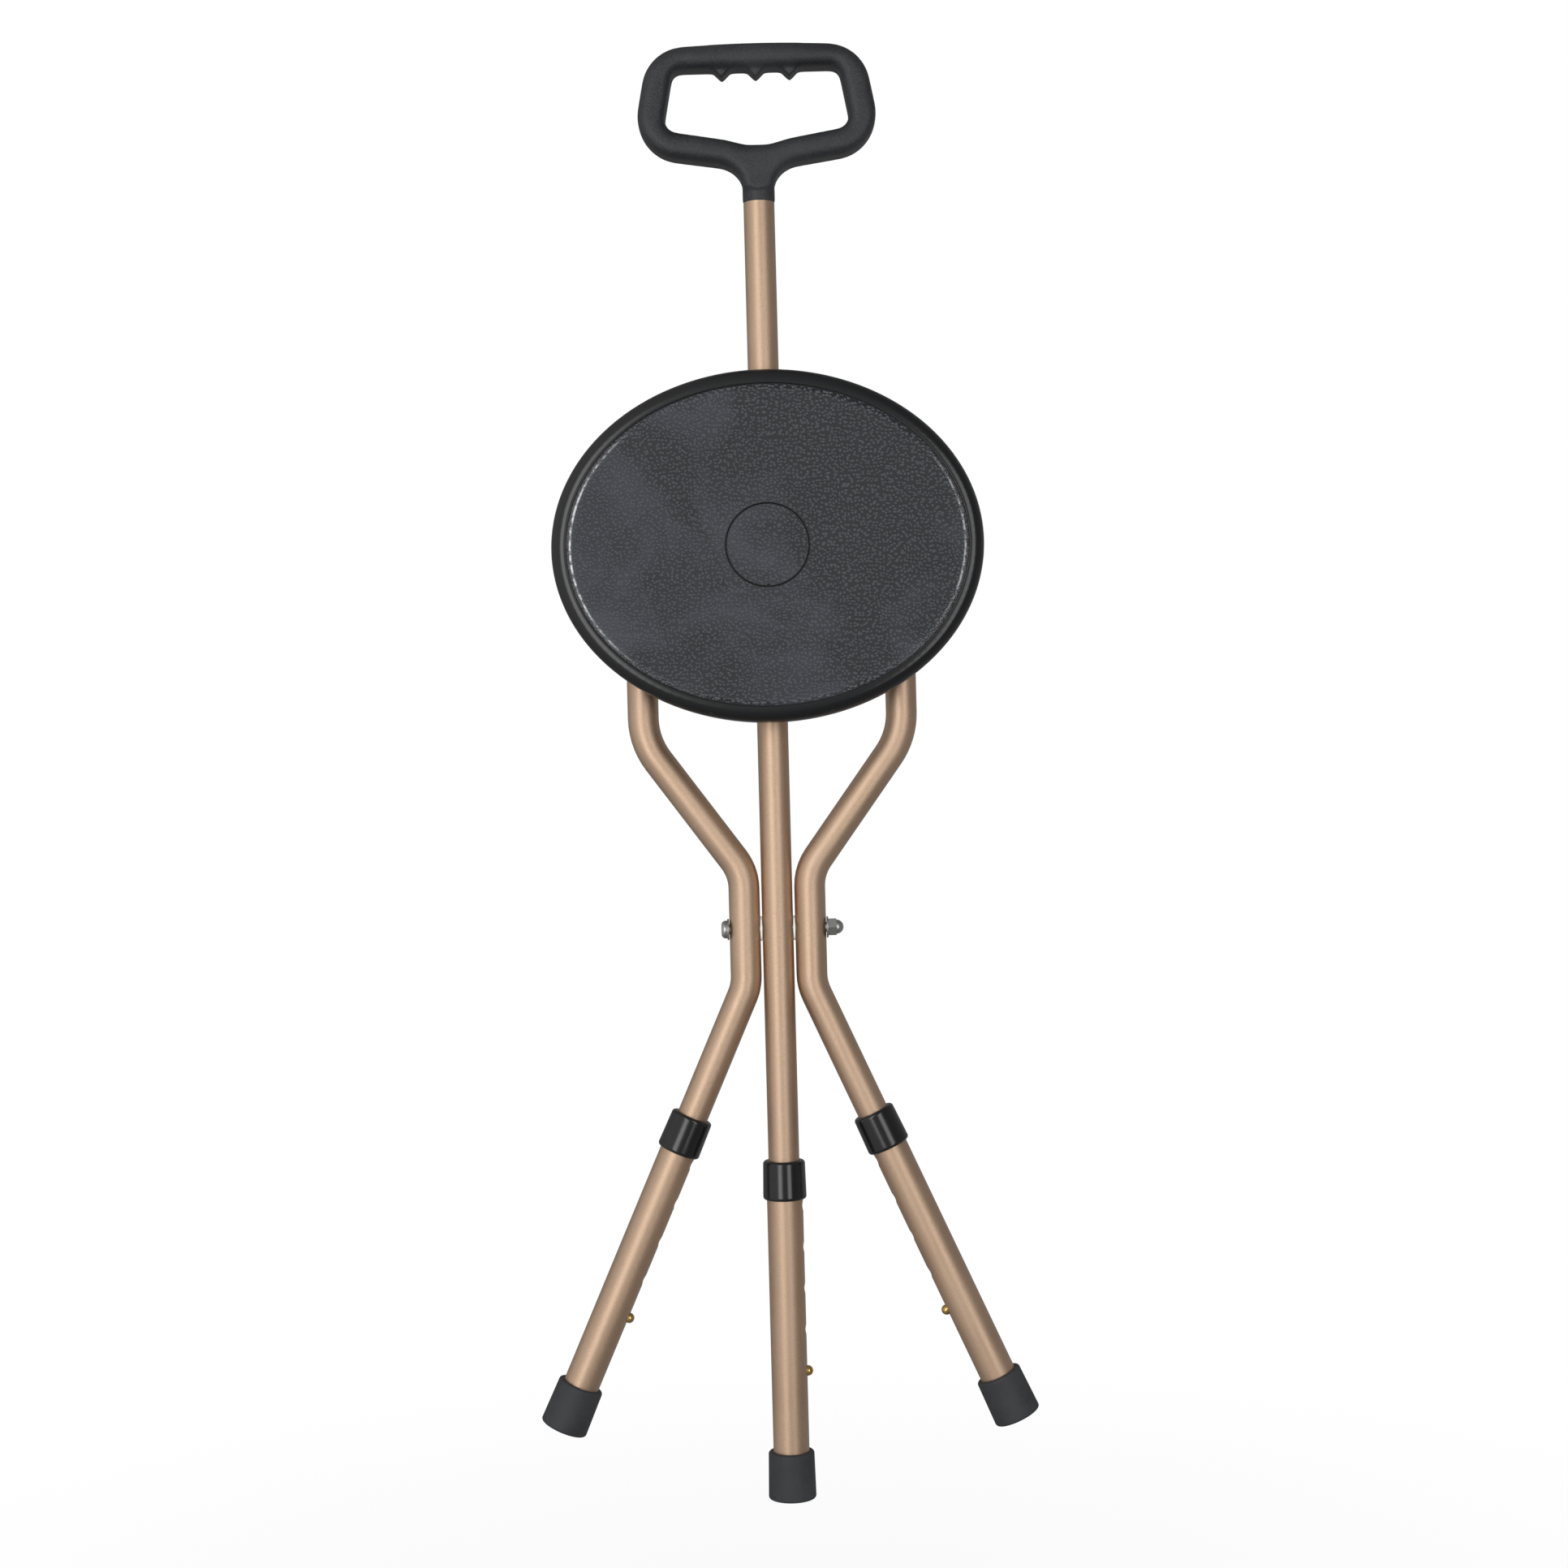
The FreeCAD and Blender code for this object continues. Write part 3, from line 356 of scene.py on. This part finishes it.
def bare_metal(name, dark, light, smoothest, clouds):
    """Bare metal, slightly cloudy in its colour and polish. Clouds are so many to the metre."""
    material, place = new_material(name)
    cloud = add_node(material, "ShaderNodeTexNoise", {"Vector": place, "Scale": clouds, "Detail": 4.0})
    fine = add_node(material, "ShaderNodeTexNoise", {
        "Vector": place, "Scale": METAL_GRAIN, "Detail": 2.0})
    polish = add_node(material, "ShaderNodeMapRange", {
        "Value": cloud, "From Min": 0.3, "From Max": 0.7, "To Min": smoothest, "To Max": smoothest + 0.12})
    bump = add_node(material, "ShaderNodeBump", {
        "Height": fine, "Strength": 0.15, "Distance": 0.04 * MM})
    return finish_material(material, {
        "Base Color": mottled_colour(material, cloud, dark, light, 0.3, 0.7),
        "Metallic": 1.0, "Roughness": polish, "Normal": bump})


def natural_nylon():
    """Unpigmented nylon washer: milky white with light going a little way in."""
    material, place = new_material("natural_nylon")
    cloud = add_node(material, "ShaderNodeTexNoise", {"Vector": place, "Scale": WASHER_CLOUDS})
    return finish_material(material, {
        "Base Color": mottled_colour(material, cloud, "D8D4C8", "E8E5DB"), "Roughness": 0.4,
        "IOR": 1.53, "Subsurface Weight": 0.2, "Subsurface Scale": 1.0 * MM})


FINISHES = {
    "bronze_tube": anodised_bronze_aluminium(),
    "handle_plastic": moulded_handle_plastic(),
    "seat_plastic": grained_seat_plastic(),
    "gloss_collar": gloss_black_nylon(),
    "black_plastic": satin_black_nylon(),
    "tip_rubber": black_foot_rubber(),
    "brass": bare_metal("polished_brass", "BF9A58", "DDBB7C", 0.16, 220.0),
    "zinc_steel": bare_metal("zinc_plated_steel", "A9A9A6", "C4C3BD", 0.28, 160.0),
    "spring_steel": bare_metal("blued_spring_steel", "6A6C70", "85878B", 0.3, 200.0),
    "nylon": natural_nylon(),
}


# Pieces

def dress_solids():
    """Give every solid the finish of its material slot."""
    for part in frame["record"]["subparts"]:
        for slot in frame["nodes"][part["node"]].material_slots:
            slot.material = FINISHES[part["material_slot"]]


def merged_copy(node, name):
    """New mesh with a solid's shape, its loose triangles joined up, selected and active."""
    piece = bpy.data.objects.new(name, frame["nodes"][node].data.copy())
    bpy.context.collection.objects.link(piece)
    bpy.ops.object.select_all(action="DESELECT")
    piece.select_set(True)
    bpy.context.view_layer.objects.active = piece
    bpy.ops.object.mode_set(mode="EDIT")
    bpy.ops.mesh.select_all(action="SELECT")
    bpy.ops.mesh.remove_doubles(threshold=0.002 * MM)
    bpy.ops.object.mode_set(mode="OBJECT")
    bpy.ops.mesh.customdata_custom_splitnormals_clear()
    return piece


def softening_at(x, z):
    """Share of the softening that a point of the handle gets: little at the neck, some on the bumps."""
    if abs(x) < BUMPS_HALF and GRIP_UNDER - BUMP_DEPTH < z < GRIP_UNDER - BUMP_ROOT:
        return BUMP_SHARE
    return min(1.0, max(NECK_SHARE, (z - NECK_TOP) / NECK_FADE))


def moulded_handle():
    """Handle with its edges rounded over softly, as its mould leaves them."""
    handle = merged_copy("handle", "moulded_handle")
    skin = handle.modifiers.new("skin", "REMESH")
    skin.mode = "VOXEL"
    skin.voxel_size = HANDLE_VOXEL
    bpy.ops.object.modifier_apply(modifier=skin.name)

    rounded = handle.vertex_groups.new(name="rounded")
    for vertex in handle.data.vertices:
        rounded.add([vertex.index], softening_at(vertex.co.x, vertex.co.z), "REPLACE")
    padding = handle.modifiers.new("padding", "DISPLACE")
    padding.mid_level = 0.0
    padding.strength = HANDLE_PADDING
    padding.vertex_group = rounded.name
    bpy.ops.object.modifier_apply(modifier=padding.name)
    soften = handle.modifiers.new("soften", "SMOOTH")
    soften.factor = 0.6
    soften.iterations = SOFTENING_STEPS
    soften.vertex_group = rounded.name
    bpy.ops.object.modifier_apply(modifier=soften.name)

    # The padding makes the loop a little taller, so it is pressed back to the solid's height
    top = max(vertex.co.z for vertex in handle.data.vertices)
    keep = (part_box("handle")[1][2] - NECK_TOP) / (top - NECK_TOP)
    for vertex in handle.data.vertices:
        if vertex.co.z > NECK_TOP:
            vertex.co.z = NECK_TOP + (vertex.co.z - NECK_TOP) * keep
    bpy.ops.object.shade_smooth()
    handle.data.materials.clear()
    handle.data.materials.append(FINISHES["handle_plastic"])
    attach(handle, "shaft")
    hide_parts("handle")


# Studio

def studio_floor():
    """Wide pale floor that turns to plain white away from the object, and that metal doesn't mirror."""
    bpy.ops.object.select_all(action="DESELECT")
    bpy.ops.mesh.primitive_plane_add(size=FLOOR_SIZE, location=(0, 0, 0))
    floor = bpy.context.active_object
    floor.name = "studio_floor"
    floor.data.transform(Matrix.Translation((0, 0, -FLOOR_DROP)))
    material, place = new_material("matt_white_floor")
    reach = add_node(material, "ShaderNodeVectorMath", {0: place}, operation="LENGTH")
    far = add_node(material, "ShaderNodeMapRange", {
        "Value": reach, "From Min": WHITENING[0], "From Max": WHITENING[1],
        "To Min": WHITE_SHARE[0], "To Max": WHITE_SHARE[1]})
    path = add_node(material, "ShaderNodeLightPath").outputs
    seen = add_node(material, "ShaderNodeMath", {0: far, 1: path["Is Camera Ray"]}, operation="MULTIPLY")
    paint = add_node(material, "ShaderNodeBsdfDiffuse", {"Color": hex_colour("F4F4F4")})
    white = add_node(material, "ShaderNodeEmission", {"Color": (1, 1, 1, 1), "Strength": 1.0})
    shown = add_node(material, "ShaderNodeMixShader", {"Fac": seen, 1: paint, 2: white})
    unmirrored = add_node(material, "ShaderNodeBsdfTransparent")
    mixed = add_node(material, "ShaderNodeMixShader", {
        "Fac": path["Is Glossy Ray"], 1: shown, 2: unmirrored})
    add_node(material, "ShaderNodeOutputMaterial", {"Surface": mixed})
    floor.data.materials.append(material)


def studio_world():
    """White background for the camera, an even fill, and a soft gradient in what mirrors the studio."""
    world = bpy.data.worlds.new("studio_world")
    bpy.context.scene.world = world
    world.use_nodes = True
    world.node_tree.nodes.clear()
    direction = add_node(world, "ShaderNodeTexCoord").outputs["Generated"]
    towards = add_node(world, "ShaderNodeVectorMath", {
        0: direction, 1: REFLECTED_FROM}, operation="DOT_PRODUCT")
    turned = add_node(world, "ShaderNodeMapRange", {"Value": towards, "From Min": -1.0, "From Max": 1.0})
    gradient = add_node(world, "ShaderNodeValToRGB", {"Fac": turned})
    stops = gradient.color_ramp.elements
    for number, (place, level) in enumerate(REFLECTED_LEVELS):
        stop = stops[number] if number < 2 else stops.new(place)
        stop.position = place
        stop.color = (level, level, level, 1.0)
    path = add_node(world, "ShaderNodeLightPath").outputs
    mirrored = add_node(world, "ShaderNodeMath", {
        0: path["Is Glossy Ray"], 1: path["Is Transmission Ray"]}, operation="MAXIMUM")
    fill = add_node(world, "ShaderNodeBackground", {"Color": (1, 1, 1, 1), "Strength": FILL_LEVEL})
    studio = add_node(world, "ShaderNodeBackground", {"Color": gradient, "Strength": 1.0})
    white = add_node(world, "ShaderNodeBackground", {"Color": (1, 1, 1, 1), "Strength": 1.0})
    lit = add_node(world, "ShaderNodeMixShader", {"Fac": mirrored, 1: fill, 2: studio})
    mixed = add_node(world, "ShaderNodeMixShader", {"Fac": path["Is Camera Ray"], 1: lit, 2: white})
    add_node(world, "ShaderNodeOutputWorld", {"Surface": mixed})


def softbox(name, place, width, height, watts):
    """Upright area lamp aimed at the stick."""
    lamp = bpy.data.lights.new(name, "AREA")
    lamp.shape = "RECTANGLE"
    lamp.size = width
    lamp.size_y = height
    lamp.energy = watts
    holder = bpy.data.objects.new(name, lamp)
    bpy.context.collection.objects.link(holder)
    holder.location = place
    aim = [LAMPS_AIM[i] - place[i] for i in range(3)]
    holder.rotation_euler = (math.atan2(math.hypot(aim[0], aim[1]), -aim[2]), 0, math.atan2(-aim[0], aim[1]))


def photo_camera():
    """Level camera in front of the seat, rolled a little as the photograph is."""
    lens = bpy.data.cameras.new("photo_camera")
    lens.sensor_width = FILM_WIDTH
    lens.lens = FILM_WIDTH * -CAMERA_PLACE[1] / PHOTO_WIDTH
    camera = bpy.data.objects.new("photo_camera", lens)
    bpy.context.collection.objects.link(camera)
    camera.location = CAMERA_PLACE
    camera.rotation_euler = (math.radians(90), math.radians(CAMERA_ROLL), 0)
    bpy.context.scene.camera = camera


def main():
    moulded_handle()
    dress_solids()
    studio_floor()
    studio_world()
    softbox("left_light", place=(-1.0, -2.35, 0.6), width=0.9, height=2.2, watts=21.0)
    softbox("right_light", place=(1.15, -2.25, 0.5), width=0.8, height=2.0, watts=16.0)
    photo_camera()
    bpy.context.scene.view_settings.view_transform = "Standard"


main()
